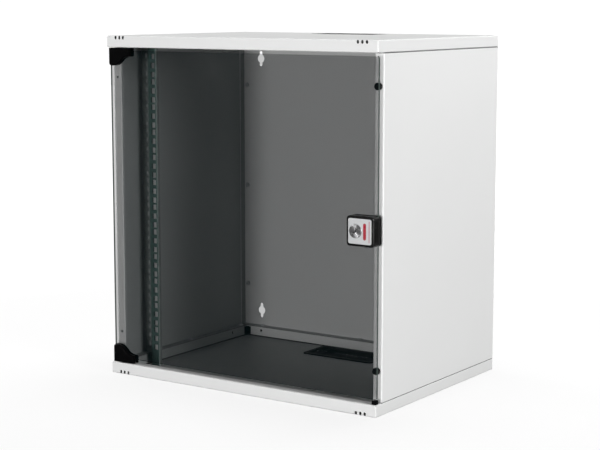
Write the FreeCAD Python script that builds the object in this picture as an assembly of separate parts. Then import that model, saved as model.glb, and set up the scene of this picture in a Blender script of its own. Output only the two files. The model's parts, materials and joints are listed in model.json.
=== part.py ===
import FreeCAD, Part
import math
import os

# A 12U wall mount network cabinet: folded steel covers and panels, 19 inch rails, and a
# glass door on two corner pivots with a cam lock.
# Millimetres. X is to the right, Y to the back, Z up. The origin is the middle of the
# bottom of the bounding box.

# --- Overall size ---------------------------------------------------------------------
WIDTH = 550.0            # outside width of the covers
DEPTH = 400.0            # outside depth of the covers
HEIGHT = 595.0           # outside height
SHEET = 1.2              # painted steel sheet
BEND = 0.9               # inside radius of a bend in that sheet
SEAM_EDGE = 0.9          # rounding of a side panel where it meets a cover

# --- Top and bottom covers ------------------------------------------------------------
LIP = 20.0               # height of the outer lip of a cover
RIM = 17.0               # width of the box section rim inside the lip
RIM_CORNER_GAP = 9.0     # open corner between two inner flanges of a rim
RIM_FOOT_GAP = 0.5       # free edge of an inner flange above the cover's sheet
RIM_HOLE = 5.5           # spare holes in the inner flanges
RIM_HOLE_RISE = 13.5     # above the cover's outer face
RIM_HOLE_BACK = 64.0     # from the back face to the side rims' holes
RIM_HOLE_SIDE = 51.0     # from the cabinet's side to the rear rim's holes
VENT_WIDTH = 4.4
VENT_HEIGHT = 6.0
VENT_PITCH = 8.3
VENT_COUNT = 3
VENT_FIRST = 20.8        # from the cover's side to the outermost vent
VENT_EDGE = 3.4          # from the cover's flat face to the middle of a vent

# --- Side panels and back panel -------------------------------------------------------
FLANGE_SETBACK = 18.0    # from the covers' front face to the front flanges
FLANGE_RETURN = 5.5      # stiffening return of a front flange
FOLD_RELIEF = 12.0       # from a vertical flange to the horizontal one beside it
BACK_TRAY = 14.0         # depth of the back panel's folded edges
SCREW_FRONT = 22.0       # from the fold relief to the first screw of a side panel
SCREW_BACK = 12.0        # from the back panel's tray to the last one
SCREW_SIDE = 50.0        # from the cabinet's side to a screw of the back panel
TRAY_GAP = 3.0           # between a side panel's fold and the back panel's tray
KEYHOLE_COUNT = 2        # across, and again up
KEYHOLE_SPACING = 465.0  # across
KEYHOLE_EDGE = 51.0      # from the top or bottom of the cabinet to a keyhole's middle
KEYHOLE_HEAD = 16.0
KEYHOLE_SLOT = 7.0
KEYHOLE_REACH = 14.7     # from the middle to either end of the slot

# --- 19 inch rails --------------------------------------------------------------------
UNIT = 44.45
HOLE_OFFSETS = (6.35, 22.225, 38.1)
RAIL_INSET = 49.9        # from the covers' sides to the opening between the rails
HOLE_EDGE = 7.45         # from that opening to the middle of the square holes
SQUARE_HOLE = 9.5
RAIL_SHEET = 1.5
RAIL_BEND = 1.0
RAIL_SETBACK = 72.0      # from the covers' front face to the rails' front face
RAIL_LIP = 7.0
RAIL_FRONT = 18.9
RAIL_WEB = 18.0
RAIL_SIDE_GAP = 1.3      # between a rail's wing and the side panel
RAIL_RIM_GAP = 1.5       # between the wing and the covers' rims
RAIL_FLOOR_GAP = 1.0
WING_SLOT = (5.0, 9.0)   # width and height
WING_SLOT_EDGE = 10.5    # from the wing's free edge to the middle of a slot
TAB_LENGTH = 24.0
TAB_GAP = 0.5            # between a tab and the top of the rim

# --- Glass door -----------------------------------------------------------------------
GLASS = 4.0
GLASS_SETBACK = 6.5
GLASS_LEFT_GAP = 3.2     # from the covers' left face to the glass
GLASS_RIGHT_GAP = 3.2
GLASS_TOP_GAP = 5.5      # from the top cover's lip to the glass
GLASS_BOTTOM_GAP = 7.5
GLASS_CORNER = 3.0
NOTCH = 15.0             # corner of the glass cut away for a hinge, across
NOTCH_FLOOR = 1.5        # below the hinge pin
PAD = 0.5                # soft pads on both faces of the glass

# --- Corner hinges --------------------------------------------------------------------
HINGE_LEFT_GAP = 3.2
HINGE_FRONT_GAP = 0.5
HINGE_LENGTH = 46.5
HINGE_TALL = 30.5
HINGE_SHORT = 14.5
HINGE_FLAT = 8.0         # straight run of the tall end
HINGE_TAIL = 3.5         # straight run of the short end
HINGE_BACK_PLATE = 3.0
HINGE_END_RADIUS = 3.0
HINGE_CORNER = 5.0       # lower outer corner in front view
HINGE_LIP_GAP = 1.1      # between a hinge and the cover's lip
PIN = 5.0
PIN_INSET = 6.5          # from the hinge's left end to the pin
PIN_DEPTH = 7.0          # from the covers' front face to the pin
PIN_IN_HINGE = 12.0
PIN_OUT = 6.5
PIN_FIT = 0.05           # radial running clearance
BUSH_WALL = 1.5
BUSH_FLANGE = 0.7
HINGE_SCREW = 4.0
HINGE_SCREW_EDGE = 7.0
HINGE_SCREW_BITE = 4.0
HINGE_HOLE = 6.0         # through the glass
HINGE_PAD_INSET = 0.8

# --- Lock -----------------------------------------------------------------------------
LOCK_WIDTH = 51.0
LOCK_HEIGHT = 48.0
LOCK_CORNER = 5.0
LOCK_PROUD = 7.4         # in front of the covers
LOCK_WRAP = 2.0          # wall round the edge of the glass
LOCK_FLANGE_GAP = 3.4    # between the closed lock and the side panel's flange
BADGE = (43.0, 40.5)
BADGE_SHEET = 1.0
BADGE_INSET = 3.4        # from the housing's left face to the badge
BARREL_INSET = 16.8      # from the housing's left face to the lock's axis
BEZEL = 23.0
BEZEL_PROUD = 0.8
BARREL = 19.0
ROTOR = 14.0
ROTOR_FIT = 0.08
GLASS_HOLE = 24.0
CAM_REACH = 32.0
CAM_WIDTH = 14.0
CAM_SHEET = 2.0
CAM_GAP = 2.2            # between the cam and the flange's return
BARREL_END_GAP = 0.4     # between the barrel's end and the cam
ROTOR_HEAD = (1.2, 1.6)  # wider front of the rotor: step and thickness
KEY_SLOT = (2.2, 9.0, 9.0)  # width, length and depth
KEY_ANGLE = 40.0
SHAFT = 7.0
CAM_NUT = (10.0, 3.0)    # across flats, and thickness
LOCK_EDGE = 1.6          # rounded front edge of the lock's case
GRIP = (2.6, 1.1, 0.6)   # pitch, width and depth of the grooves at the case's side
GRIP_COUNT = 4
BARREL_NUT = (24.0, 3.5)  # across flats, and thickness

# --- Small parts ----------------------------------------------------------------------
BUMPER = 11.5
BUMPER_SIDE = 9.0        # from the cabinet's side to the bumper's middle
BUMPER_HOLE = 5.0
BUMPER_END = 72.0        # from the cabinet's top or bottom
BUMPER_GAP = 0.3
BUMPER_ROUND = (0.7, 1.8) # where the rounded nose begins, and where its side starts
BUMPER_BARB = (0.9, 0.4, 3.0)  # over the hole's radius, start and end behind the sheet
REST = (8.0, 9.0)        # across and deep
REST_SIDE = 2.6
REST_FRONT = 3.0
REST_GAP = 1.0           # under the glass
REST_STUD = 4.0
ENTRY = (150.0, 74.0)    # outside of the cable entry's frame
ENTRY_BACK = 19.0        # from the cabinet's back face to the frame
ENTRY_FLANGE = 4.0
ENTRY_RISE = 2.0
ENTRY_CORNER = 7.0
ENTRY_WALL = 3.0
BRUSH_SLIT = 6.0
BRUSH_THICK = 3.0
SCREW = 5.0              # panel screws
SCREW_HEAD = (9.0, 2.6)
SCREW_REACH = 5.0        # thread past the two sheets it joins
BOLT = 6.0               # rail bolts
BOLT_TAIL = 2.0          # past the nut
BOLT_HEAD = (11.0, 3.6)
NUT_HEIGHT = 4.0
NUT_FLATS = 10.0

# --- Derived places -------------------------------------------------------------------
PROUD = LOCK_PROUD + BEZEL_PROUD
FRONT = (PROUD - DEPTH) / 2.0
BACK = FRONT + DEPTH
SIDE = WIDTH / 2.0
MIDDLE = HEIGHT / 2.0
PANEL_LOW = LIP
PANEL_HIGH = HEIGHT - LIP
FLANGE_Y = FRONT + FLANGE_SETBACK
GLASS_Y = FRONT + GLASS_SETBACK
GLASS_LEFT = -SIDE + GLASS_LEFT_GAP
GLASS_RIGHT = SIDE - GLASS_RIGHT_GAP
GLASS_LOW = PANEL_LOW + GLASS_BOTTOM_GAP
GLASS_HIGH = PANEL_HIGH - GLASS_TOP_GAP
HINGE_LEFT = -SIDE + HINGE_LEFT_GAP
HINGE_Y = FRONT + HINGE_FRONT_GAP
PIN_X = HINGE_LEFT + PIN_INSET
PIN_Y = FRONT + PIN_DEPTH
LOCK_RIGHT = GLASS_RIGHT + LOCK_WRAP
LOCK_LEFT = LOCK_RIGHT - LOCK_WIDTH
LOCK_FRONT = FRONT - LOCK_PROUD
LOCK_BACK = FLANGE_Y - LOCK_FLANGE_GAP
BARREL_X = LOCK_LEFT + BARREL_INSET
CAM_Y = FLANGE_Y + FLANGE_RETURN + CAM_GAP
RAIL_Y = FRONT + RAIL_SETBACK
RAIL_OPENING = WIDTH - 2 * RAIL_INSET          # 450.2, as 19 inch equipment needs
HOLE_COLUMNS = RAIL_OPENING + 2 * HOLE_EDGE    # 465.1
UNITS = int((HEIGHT - 2 * LIP) / UNIT)         # 12 whole units between the lips
UNIT_LOW = MIDDLE - UNITS * UNIT / 2.0
ENTRY_Y = BACK - ENTRY_BACK - ENTRY[1] / 2.0


# --- Helpers --------------------------------------------------------------------------
def vec(x, y, z=0.0):
    return FreeCAD.Vector(x, y, z)


def block(x0, x1, y0, y1, z0, z1):
    return Part.makeBox(x1 - x0, y1 - y0, z1 - z0, vec(x0, y0, z0))


def rod(radius, length, start, direction):
    return Part.makeCylinder(radius, length, start, direction)


UP = vec(0, 0, 1)
REAR = vec(0, 1, 0)
RIGHT = vec(1, 0, 0)


def mirrored_x(shape):
    return shape.mirror(vec(0, 0, 0), RIGHT)


def mirrored_z(shape):
    return shape.mirror(vec(0, 0, MIDDLE), UP)


def fused(shapes):
    return shapes[0].multiFuse(shapes[1:]).removeSplitter() if len(shapes) > 1 else shapes[0]


def rounded(shape, radius, chosen):
    """Fillet the edges for which chosen(middle point, direction) is true."""
    edges = []
    for edge in shape.Edges:
        if edge.Curve.TypeId != "Part::GeomLine":
            continue
        middle = (edge.Vertexes[0].Point + edge.Vertexes[1].Point) * 0.5
        direction = edge.Curve.Direction
        if chosen(middle, direction):
            edges.append(edge)
    return shape.makeFillet(radius, edges)


def along(direction, axis):
    return abs(direction.dot(axis)) > 0.999


def near(value, target):
    return abs(value - target) < 0.01


def turned_path(points, radii):
    """Edges along the points, with a tangent arc of each given radius at each turn."""
    edges = []
    start = points[0]
    for before, corner, after, radius in zip(points, points[1:], points[2:], radii):
        arriving = (corner - before).normalize()
        leaving = (after - corner).normalize()
        turn = arriving.getAngle(leaving)
        reach = radius * math.tan(turn / 2.0)
        first = corner - arriving * reach
        last = corner + leaving * reach
        bisector = (leaving - arriving).normalize()
        crown = corner + bisector * (radius / math.cos(turn / 2.0) - radius)
        edges.append(Part.LineSegment(start, first).toShape())
        edges.append(Part.Arc(first, crown, last).toShape())
        start = last
    edges.append(Part.LineSegment(start, points[-1]).toShape())
    return edges


def shifted_points(points, shift):
    """The polyline moved sideways, to its left seen from above."""
    moved = []
    normals = []
    for a, b in zip(points, points[1:]):
        run = (b - a).normalize()
        normals.append(vec(-run.y, run.x))
    moved.append(points[0] + normals[0] * shift)
    for corner, first, second in zip(points[1:], normals, normals[1:]):
        middle = (first + second).normalize()
        moved.append(corner + middle * (shift / middle.dot(first)))
    moved.append(points[-1] + normals[-1] * shift)
    return moved


def folded_sheet(points, thickness, inside, low, high):
    """Sheet bent along the points, its skin on them and its thickness to their left."""
    turns = []
    for before, corner, after in zip(points, points[1:], points[2:]):
        turns.append((corner - before).cross(after - corner).z > 0)
    skin = [inside + thickness if left else inside for left in turns]
    core = [inside if left else inside + thickness for left in turns]
    other = shifted_points(points, thickness)
    edges = turned_path(points, skin)
    edges += [Part.LineSegment(points[-1], other[-1]).toShape()]
    edges += turned_path(other, core)[::-1]
    edges += [Part.LineSegment(other[0], points[0]).toShape()]
    outline = Part.Wire(Part.__sortEdges__(edges))
    face = Part.Face(outline)
    face.translate(vec(0, 0, low))
    return face.extrude(vec(0, 0, high - low))


def rounded_plate(x0, x1, y0, y1, radius, z0, z1):
    plate = block(x0, x1, y0, y1, z0, z1)
    return rounded(plate, radius, lambda middle, run: along(run, UP))


def upright_plate(x0, x1, z0, z1, radius, y0, y1):
    plate = block(x0, x1, y0, y1, z0, z1)
    return rounded(plate, radius, lambda middle, run: along(run, REAR))


def obround(width, height, x, y0, y1, z):
    """A slot through the Y direction, rounded at its two short ends."""
    radius = min(width, height) / 2.0
    across = max(width / 2.0 - radius, 0.0)
    upward = max(height / 2.0 - radius, 0.0)
    ends = []
    for sign in (-1, 1):
        centre = vec(x + sign * across, y0, z + sign * upward)
        ends.append(rod(radius, y1 - y0, centre, REAR))
    if across > upward:
        core = block(x - across, x + across, y0, y1, z - radius, z + radius)
    else:
        core = block(x - radius, x + radius, y0, y1, z - upward, z + upward)
    return fused(ends + [core])


def hexagon(flats, height, centre, direction):
    corner = flats / 2.0 / math.cos(math.pi / 6.0)
    points = []
    for step in range(7):
        angle = step * math.pi / 3.0
        points.append(vec(corner * math.cos(angle), corner * math.sin(angle)))
    prism = Part.Face(Part.makePolygon(points)).extrude(vec(0, 0, height))
    prism.Placement = FreeCAD.Placement(centre, FreeCAD.Rotation(UP, direction))
    return prism


def turned_part(profile, start, direction):
    """A solid of revolution from (radius, height) points, standing at start."""
    points = [vec(radius, 0, height) for radius, height in profile]
    outline = Part.Face(Part.makePolygon(points + [points[0]]))
    solid = outline.revolve(vec(0, 0, 0), UP, 360)
    solid.Placement = FreeCAD.Placement(start, FreeCAD.Rotation(UP, direction))
    return solid


# --- Places shared by holes and fasteners ---------------------------------------------
def vent_places():
    places = []
    for step in range(VENT_COUNT):
        offset = SIDE - VENT_FIRST - step * VENT_PITCH
        places += [-offset, offset]
    return places


def side_screw_places():
    """Where the side panels are screwed to the rim of a cover, as (x, y)."""
    x = SIDE - RIM / 2.0 - SHEET / 2.0
    first = FLANGE_Y + FOLD_RELIEF + SCREW_FRONT
    last = BACK - BACK_TRAY - SCREW_BACK
    return [(side * x, y) for side in (-1, 1) for y in (first, (first + last) / 2.0, last)]


def back_screw_places():
    """Where the back panel is screwed to the rear rim of a cover, as (x, y)."""
    y = BACK - SHEET - BACK_TRAY / 2.0 - SHEET / 2.0
    x = SIDE - SCREW_SIDE
    return [(place, y) for place in (-x, 0.0, x)]


def rivet_places():
    """Where the back panel is screwed to the side panels' rear flanges, as (x, z)."""
    x = SIDE - RIM / 2.0 - SHEET
    heights = (KEYHOLE_EDGE * 2, MIDDLE, HEIGHT - KEYHOLE_EDGE * 2)
    return [(side * x, z) for side in (-1, 1) for z in heights]


def rail_bolt_place():
    """Middle of a rail's bolt in the rim's inner flange, as (y, height in the cover)."""
    y = RAIL_Y + RAIL_WEB + TAB_LENGTH / 2.0 + RAIL_BEND + RAIL_SHEET
    return y, (SHEET + LIP) / 2.0


def hinge_hole():
    return PIN / 2.0 + PIN_FIT + BUSH_WALL


def bumper_places():
    return [SIDE - BUMPER_SIDE, -(SIDE - BUMPER_SIDE)], [BUMPER_END, HEIGHT - BUMPER_END]


# --- Covers ---------------------------------------------------------------------------
def cover_shell():
    """Sheet, lip and return in one folded form, hollow and open to the middle."""
    outer_radius = BEND + SHEET
    outside = block(-SIDE, SIDE, FRONT, BACK, 0, LIP)
    outside = outside.makeFillet(outer_radius, outside.Edges)
    inside = block(-SIDE + SHEET, SIDE - SHEET, FRONT + SHEET, BACK - SHEET, SHEET, LIP - SHEET)
    inside = inside.makeFillet(BEND, inside.Edges)
    mouth = block(-SIDE + RIM, SIDE - RIM, FRONT + RIM, BACK - RIM, LIP / 2.0, LIP + 1)
    return outside.cut(inside).cut(mouth)


def rim_flanges():
    """The four inner flanges, which stop short of each other in the corners."""
    low = SHEET + RIM_FOOT_GAP
    x1 = SIDE - RIM
    y0 = FRONT + RIM
    y1 = BACK - RIM
    gap = RIM_CORNER_GAP
    flanges = []
    for x in (-x1 - SHEET, x1):
        flanges.append(block(x, x + SHEET, y0 + gap, y1 - gap, low, LIP - SHEET / 2.0))
    for y in (y0 - SHEET, y1):
        flanges.append(block(-x1 + gap, x1 - gap, y, y + SHEET, low, LIP - SHEET / 2.0))
    return flanges


def bottom_cover():
    cover = fused([cover_shell()] + rim_flanges())
    cuts = []
    for x in vent_places():
        cuts.append(obround(VENT_WIDTH, VENT_HEIGHT, x, FRONT - 1, FRONT + SHEET + BEND, VENT_EDGE))
    hole_w = ENTRY[0] - 2 * ENTRY_FLANGE
    hole_d = ENTRY[1] - 2 * ENTRY_FLANGE
    cuts.append(rounded_plate(-hole_w / 2, hole_w / 2, ENTRY_Y - hole_d / 2, ENTRY_Y + hole_d / 2,
                              ENTRY_CORNER - ENTRY_FLANGE / 2, -1, SHEET + 1))
    for x, y in side_screw_places() + back_screw_places():
        cuts.append(rod(SCREW / 2.0, SHEET * 3, vec(x, y, LIP - 2 * SHEET), UP))
    y, z = rail_bolt_place()
    for x in (-SIDE + RIM - 2 * SHEET, SIDE - RIM - SHEET):
        cuts.append(rod(BOLT / 2.0, SHEET * 3, vec(x, y, z), RIGHT))
    for side in (-1, 1):
        place = vec(side * (SIDE - RIM), BACK - RIM_HOLE_BACK, RIM_HOLE_RISE)
        cuts.append(rod(RIM_HOLE / 2.0, SHEET * 4, place - RIGHT * (SHEET * 2), RIGHT))
        place = vec(side * (SIDE - RIM_HOLE_SIDE), BACK - RIM - SHEET * 2, RIM_HOLE_RISE)
        cuts.append(rod(RIM_HOLE / 2.0, SHEET * 4, place, REAR))
    cuts.append(rod(hinge_hole(), SHEET * 3, vec(PIN_X, PIN_Y, LIP - 2 * SHEET), UP))
    return cover.cut(Part.makeCompound(cuts))


# --- Side panels ----------------------------------------------------------------------
def right_side_panel():
    inner = SIDE - RIM
    points = [vec(inner, FLANGE_Y + FLANGE_RETURN), vec(inner, FLANGE_Y), vec(SIDE, FLANGE_Y),
              vec(SIDE, BACK), vec(inner, BACK)]
    panel = folded_sheet(points, SHEET, BEND / 2.0, PANEL_LOW, PANEL_HIGH)
    y0 = FLANGE_Y + FOLD_RELIEF
    y1 = BACK - BACK_TRAY - 2 * SHEET - TRAY_GAP
    edges = []
    for z0 in (PANEL_LOW, PANEL_HIGH - SHEET):
        edges.append(block(inner + SHEET, SIDE - SHEET / 2.0, y0, y1, z0, z0 + SHEET))
    panel = fused([panel] + edges)
    panel = rounded(panel, SEAM_EDGE, lambda middle, run: near(middle.x, SIDE) and along(run, REAR))
    cuts = []
    for x, y in side_screw_places():
        if x > 0:
            cuts.append(rod(SCREW / 2.0, HEIGHT, vec(x, y, 0), UP))
    for x, z in rivet_places():
        if x > 0:
            cuts.append(rod(SCREW / 2.0, SHEET * 4, vec(x, BACK - 3 * SHEET, z), REAR))
    places_x, places_z = bumper_places()
    for z in places_z:
        cuts.append(rod(BUMPER_HOLE / 2.0, SHEET * 3, vec(places_x[0], FLANGE_Y - SHEET, z), REAR))
    return panel.cut(Part.makeCompound(cuts))


# --- Back panel -----------------------------------------------------------------------
def keyhole(x, z):
    start = BACK - 4 * SHEET
    cut = rod(KEYHOLE_HEAD / 2.0, 5 * SHEET, vec(x, start, z), REAR)
    slot = obround(KEYHOLE_SLOT, 2 * KEYHOLE_REACH, x, start, BACK + SHEET, z)
    return [cut, slot]


def keyhole_places():
    step = KEYHOLE_SPACING / (KEYHOLE_COUNT - 1)
    xs = [-KEYHOLE_SPACING / 2.0 + i * step for i in range(KEYHOLE_COUNT)]
    return [(x, z) for x in xs for z in (KEYHOLE_EDGE, HEIGHT - KEYHOLE_EDGE)]


def back_panel():
    half = SIDE - SHEET
    y1 = BACK - SHEET
    y0 = y1 - BACK_TRAY
    outside = block(-half, half, y0, y1, PANEL_LOW, PANEL_HIGH)
    outside = rounded(outside, BEND / 2 + SHEET, lambda middle, run: near(middle.y, y1))
    inside = block(-half + SHEET, half - SHEET, y0 - 1, y1 - SHEET, PANEL_LOW + SHEET, PANEL_HIGH - SHEET)
    inside = rounded(inside, BEND / 2, lambda middle, run: near(middle.y, y1 - SHEET))
    panel = outside.cut(inside)
    cuts = []
    relief = BEND + 2 * SHEET
    for x in (-half, half - relief):
        for z in (PANEL_LOW, PANEL_HIGH - relief):
            cuts.append(block(x, x + relief, y0 - 1, y1 - relief, z, z + relief))
    for x, z in keyhole_places():
        cuts += keyhole(x, z)
    for x, y in back_screw_places():
        cuts.append(rod(SCREW / 2.0, HEIGHT, vec(x, y, 0), UP))
    for x, z in rivet_places():
        cuts.append(rod(SCREW / 2.0, SHEET * 4, vec(x, BACK - 4 * SHEET, z), REAR))
    return panel.cut(Part.makeCompound(cuts))


# --- 19 inch rails --------------------------------------------------------------------
def unit_hole_heights():
    return [UNIT_LOW + unit * UNIT + offset for unit in range(UNITS) for offset in HOLE_OFFSETS]


def right_rack_rail():
    low = SHEET + RAIL_FLOOR_GAP
    high = HEIGHT - low
    x0 = RAIL_OPENING / 2.0
    x1 = x0 + RAIL_FRONT
    x2 = SIDE - SHEET - RAIL_SIDE_GAP
    y1 = RAIL_Y + RAIL_WEB
    points = [vec(x0, RAIL_Y + RAIL_LIP), vec(x0, RAIL_Y), vec(x1, RAIL_Y), vec(x1, y1), vec(x2, y1)]
    rail = folded_sheet(points, RAIL_SHEET, RAIL_BEND, low, high)
    face = SIDE - RIM
    clear = LIP + RAIL_RIM_GAP
    cuts = []
    for z0, z1 in ((0, clear), (HEIGHT - clear, HEIGHT)):
        cuts.append(block(face - RAIL_BEND - RAIL_SHEET, SIDE, y1 - 1, y1 + RAIL_SHEET + 1, z0, z1))
    for z in unit_hole_heights():
        half = SQUARE_HOLE / 2.0
        x = HOLE_COLUMNS / 2.0
        cuts.append(block(x - half, x + half, RAIL_Y - 1, RAIL_Y + RAIL_SHEET + 1, z - half, z + half))
        cuts.append(obround(WING_SLOT[0], WING_SLOT[1], x2 - WING_SLOT_EDGE,
                            y1 - 1, y1 + RAIL_SHEET + 1, z))
    rail = rail.cut(Part.makeCompound(cuts))
    tab_points = [vec(x1 + RAIL_SHEET, y1), vec(face, y1), vec(face, y1 + TAB_LENGTH + 2 * RAIL_SHEET)]
    bolt_y, bolt_z = rail_bolt_place()
    tab = folded_sheet(tab_points, RAIL_SHEET, RAIL_BEND, low, LIP - TAB_GAP)
    reach = RAIL_SHEET + RAIL_BEND
    tab = tab.cut(rod(BOLT / 2.0, 2 * reach, vec(face - reach, bolt_y, bolt_z), RIGHT))
    return fused([rail, tab, mirrored_z(tab)])


# --- Fasteners ------------------------------------------------------------------------
def pan_screw(diameter, head, length, place, direction):
    """Screw with a domed head, driven from place along direction."""
    width, height = head
    radius = width / 2.0
    profile = [(0, length), (diameter / 2.0, length), (diameter / 2.0, 0), (radius, 0),
               (radius, -height / 2), (radius * 3 / 4, -height), (0, -height)]
    screw = turned_part(profile, place, direction)
    socket = hexagon(height, height, vec(0, 0, 0), UP)
    turn = FreeCAD.Rotation(UP, direction)
    socket.Placement = FreeCAD.Placement(place - direction * (height * 3 / 2), turn)
    return screw.cut(socket)


def panel_screws():
    screws = []
    for x, y in side_screw_places():
        screws.append(pan_screw(SCREW, SCREW_HEAD, 2 * SHEET + SCREW_REACH, vec(x, y, LIP + SHEET), -UP))
    return screws + [mirrored_z(screw) for screw in screws]


def back_panel_screws():
    screws = []
    for x, y in back_screw_places():
        screws.append(pan_screw(SCREW, SCREW_HEAD, 2 * SHEET + SCREW_REACH, vec(x, y, LIP + SHEET), -UP))
    screws += [mirrored_z(screw) for screw in screws]
    for x, z in rivet_places():
        screws.append(pan_screw(SCREW, SCREW_HEAD, 2 * SHEET, vec(x, BACK - 2 * SHEET, z), REAR))
    return screws


def rail_fasteners():
    """The four bolts through the rails' tabs and rims, and their nuts inside the rims."""
    y, z = rail_bolt_place()
    face = SIDE - RIM
    start = vec(face - RAIL_SHEET, y, z)
    bolt = pan_screw(BOLT, BOLT_HEAD, RAIL_SHEET + SHEET + NUT_HEIGHT + BOLT_TAIL, start, RIGHT)
    nut = hexagon(NUT_FLATS, NUT_HEIGHT, vec(face + SHEET, y, z), RIGHT)
    nut = nut.cut(rod(BOLT / 2.0, 2 * NUT_HEIGHT, vec(face, y, z), RIGHT))
    groups = []
    for item in (bolt, nut):
        pair = [item, mirrored_x(item)]
        groups.append(pair + [mirrored_z(one) for one in pair])
    return groups


# --- Cable entry ----------------------------------------------------------------------
def entry_frame():
    half_w = ENTRY[0] / 2.0
    half_d = ENTRY[1] / 2.0
    neck_w = half_w - ENTRY_FLANGE
    neck_d = half_d - ENTRY_FLANGE
    corner = ENTRY_CORNER
    flange = rounded_plate(-half_w, half_w, ENTRY_Y - half_d, ENTRY_Y + half_d, corner,
                           SHEET, SHEET + ENTRY_RISE)
    top = SHEET + ENTRY_RISE
    flange = rounded(flange, ENTRY_RISE / 2, lambda middle, run: near(middle.z, top))
    neck = rounded_plate(-neck_w, neck_w, ENTRY_Y - neck_d, ENTRY_Y + neck_d,
                         corner - ENTRY_FLANGE / 2, SHEET / 4, SHEET + 0.5)
    hole_w = neck_w - ENTRY_WALL
    hole_d = neck_d - ENTRY_WALL
    hole = rounded_plate(-hole_w, hole_w, ENTRY_Y - hole_d, ENTRY_Y + hole_d, corner / 3, -1, top + 1)
    return fused([flange, neck]).cut(hole)


def entry_bristles():
    """Two strips of bristles that leave a slit between their tips."""
    half_w = ENTRY[0] / 2.0 - ENTRY_FLANGE - ENTRY_WALL
    half_d = ENTRY[1] / 2.0 - ENTRY_FLANGE - ENTRY_WALL
    z0 = SHEET / 4
    outer = rounded_plate(-half_w, half_w, ENTRY_Y - half_d, ENTRY_Y + half_d, ENTRY_CORNER / 3,
                          z0, z0 + BRUSH_THICK)
    slit = block(-half_w - 1, half_w + 1, ENTRY_Y - BRUSH_SLIT / 2, ENTRY_Y + BRUSH_SLIT / 2,
                 z0 - 1, z0 + BRUSH_THICK + 1)
    return outer.cut(slit).Solids


# --- Corner hinges --------------------------------------------------------------------
def hinge_top():
    return PANEL_HIGH - HINGE_LIP_GAP


def hinge_outline(y):
    """Front view of the upper hinge: tall at the pin, with an S curve to its short end."""
    top = hinge_top()
    right = HINGE_LEFT + HINGE_LENGTH
    tail = vec(right - HINGE_TAIL, y, top - HINGE_SHORT)
    foot = vec(HINGE_LEFT + HINGE_FLAT, y, top - HINGE_TALL)
    run = tail.x - foot.x
    rise = tail.z - foot.z
    radius = (run * run + rise * rise) / (4.0 * rise)
    half = math.asin(run / 2.0 / radius) / 2.0
    across = radius * math.sin(half)
    upward = radius * (1.0 - math.cos(half))
    crossing = (tail + foot) * 0.5
    corners = [foot, vec(HINGE_LEFT, y, foot.z), vec(HINGE_LEFT, y, top), vec(right, y, top),
               vec(right, y, tail.z), tail]
    edges = [Part.LineSegment(a, b).toShape() for a, b in zip(corners, corners[1:])]
    edges.append(Part.Arc(tail, tail - vec(across, 0, upward), crossing).toShape())
    edges.append(Part.Arc(crossing, foot + vec(across, 0, upward), foot).toShape())
    return Part.Face(Part.Wire(edges))


def hinge_body():
    """Both halves of the upper hinge as one block, with its rounded outer end."""
    depth = GLASS_SETBACK + GLASS + PAD + HINGE_BACK_PLATE - HINGE_FRONT_GAP
    body = hinge_outline(HINGE_Y).extrude(vec(0, depth, 0))
    foot = hinge_top() - HINGE_TALL
    low_edge = lambda at, run: near(at.x, HINGE_LEFT) and near(at.z, foot) and along(run, REAR)
    body = rounded(body, HINGE_CORNER, low_edge)
    return rounded(body, HINGE_END_RADIUS, lambda at, run: near(at.x, HINGE_LEFT) and along(run, UP))


def hinge_split():
    return GLASS_Y + GLASS + PAD


def hinge_boss(clearance):
    """The full depth block that carries the pin, in the notch of the glass."""
    return block(HINGE_LEFT - 1, GLASS_LEFT + NOTCH - clearance, GLASS_Y - PAD - 1, hinge_split(),
                 hinge_top() - PIN_IN_HINGE - NOTCH_FLOOR + clearance, PANEL_HIGH)


def hinge_screw_places():
    """The two screws of the upper hinge, as (x, z)."""
    top = hinge_top()
    return [(GLASS_LEFT + HINGE_SCREW_EDGE, top - HINGE_TALL + HINGE_SCREW_EDGE),
            (HINGE_LEFT + HINGE_LENGTH - HINGE_SCREW_EDGE, top - HINGE_SHORT / 2.0 - 1.0)]


def hinge_screw_holes(radius, y0, y1):
    return [rod(radius, y1 - y0, vec(x, y0, z), REAR) for x, z in hinge_screw_places()]


def hinge_front():
    split = hinge_split()
    far = HINGE_LEFT + HINGE_LENGTH + 1
    room = block(GLASS_LEFT - PAD, far, GLASS_Y - PAD, split, MIDDLE, HEIGHT).cut(hinge_boss(PAD))
    behind = block(HINGE_LEFT - 1, far, split, split + HINGE_BACK_PLATE + 1, MIDDLE, HEIGHT)
    pin_hole = rod(PIN / 2.0, HEIGHT, vec(PIN_X, PIN_Y, hinge_top() - PIN_IN_HINGE), UP)
    screws = hinge_screw_holes(HINGE_SCREW / 2.0, GLASS_Y - PAD - HINGE_SCREW_BITE, GLASS_Y)
    return hinge_body().cut(Part.makeCompound([room, behind, pin_hole] + screws))


def hinge_back():
    split = hinge_split()
    behind = block(HINGE_LEFT - 1, HINGE_LEFT + HINGE_LENGTH + 1, split, split + HINGE_BACK_PLATE + 1,
                   MIDDLE, HEIGHT)
    return hinge_body().common(behind).cut(Part.makeCompound(hinge_screws()))


def hinge_screws():
    """Countersunk screws, flush with the back plate."""
    back = hinge_split() + HINGE_BACK_PLATE
    length = back - (GLASS_Y - PAD - HINGE_SCREW_BITE)
    radius = HINGE_SCREW / 2.0
    screws = []
    for x, z in hinge_screw_places():
        profile = [(0, 0), (2 * radius, 0), (radius, radius), (radius, length), (0, length)]
        screws.append(turned_part(profile, vec(x, back, z), -REAR))
    return screws


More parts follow.
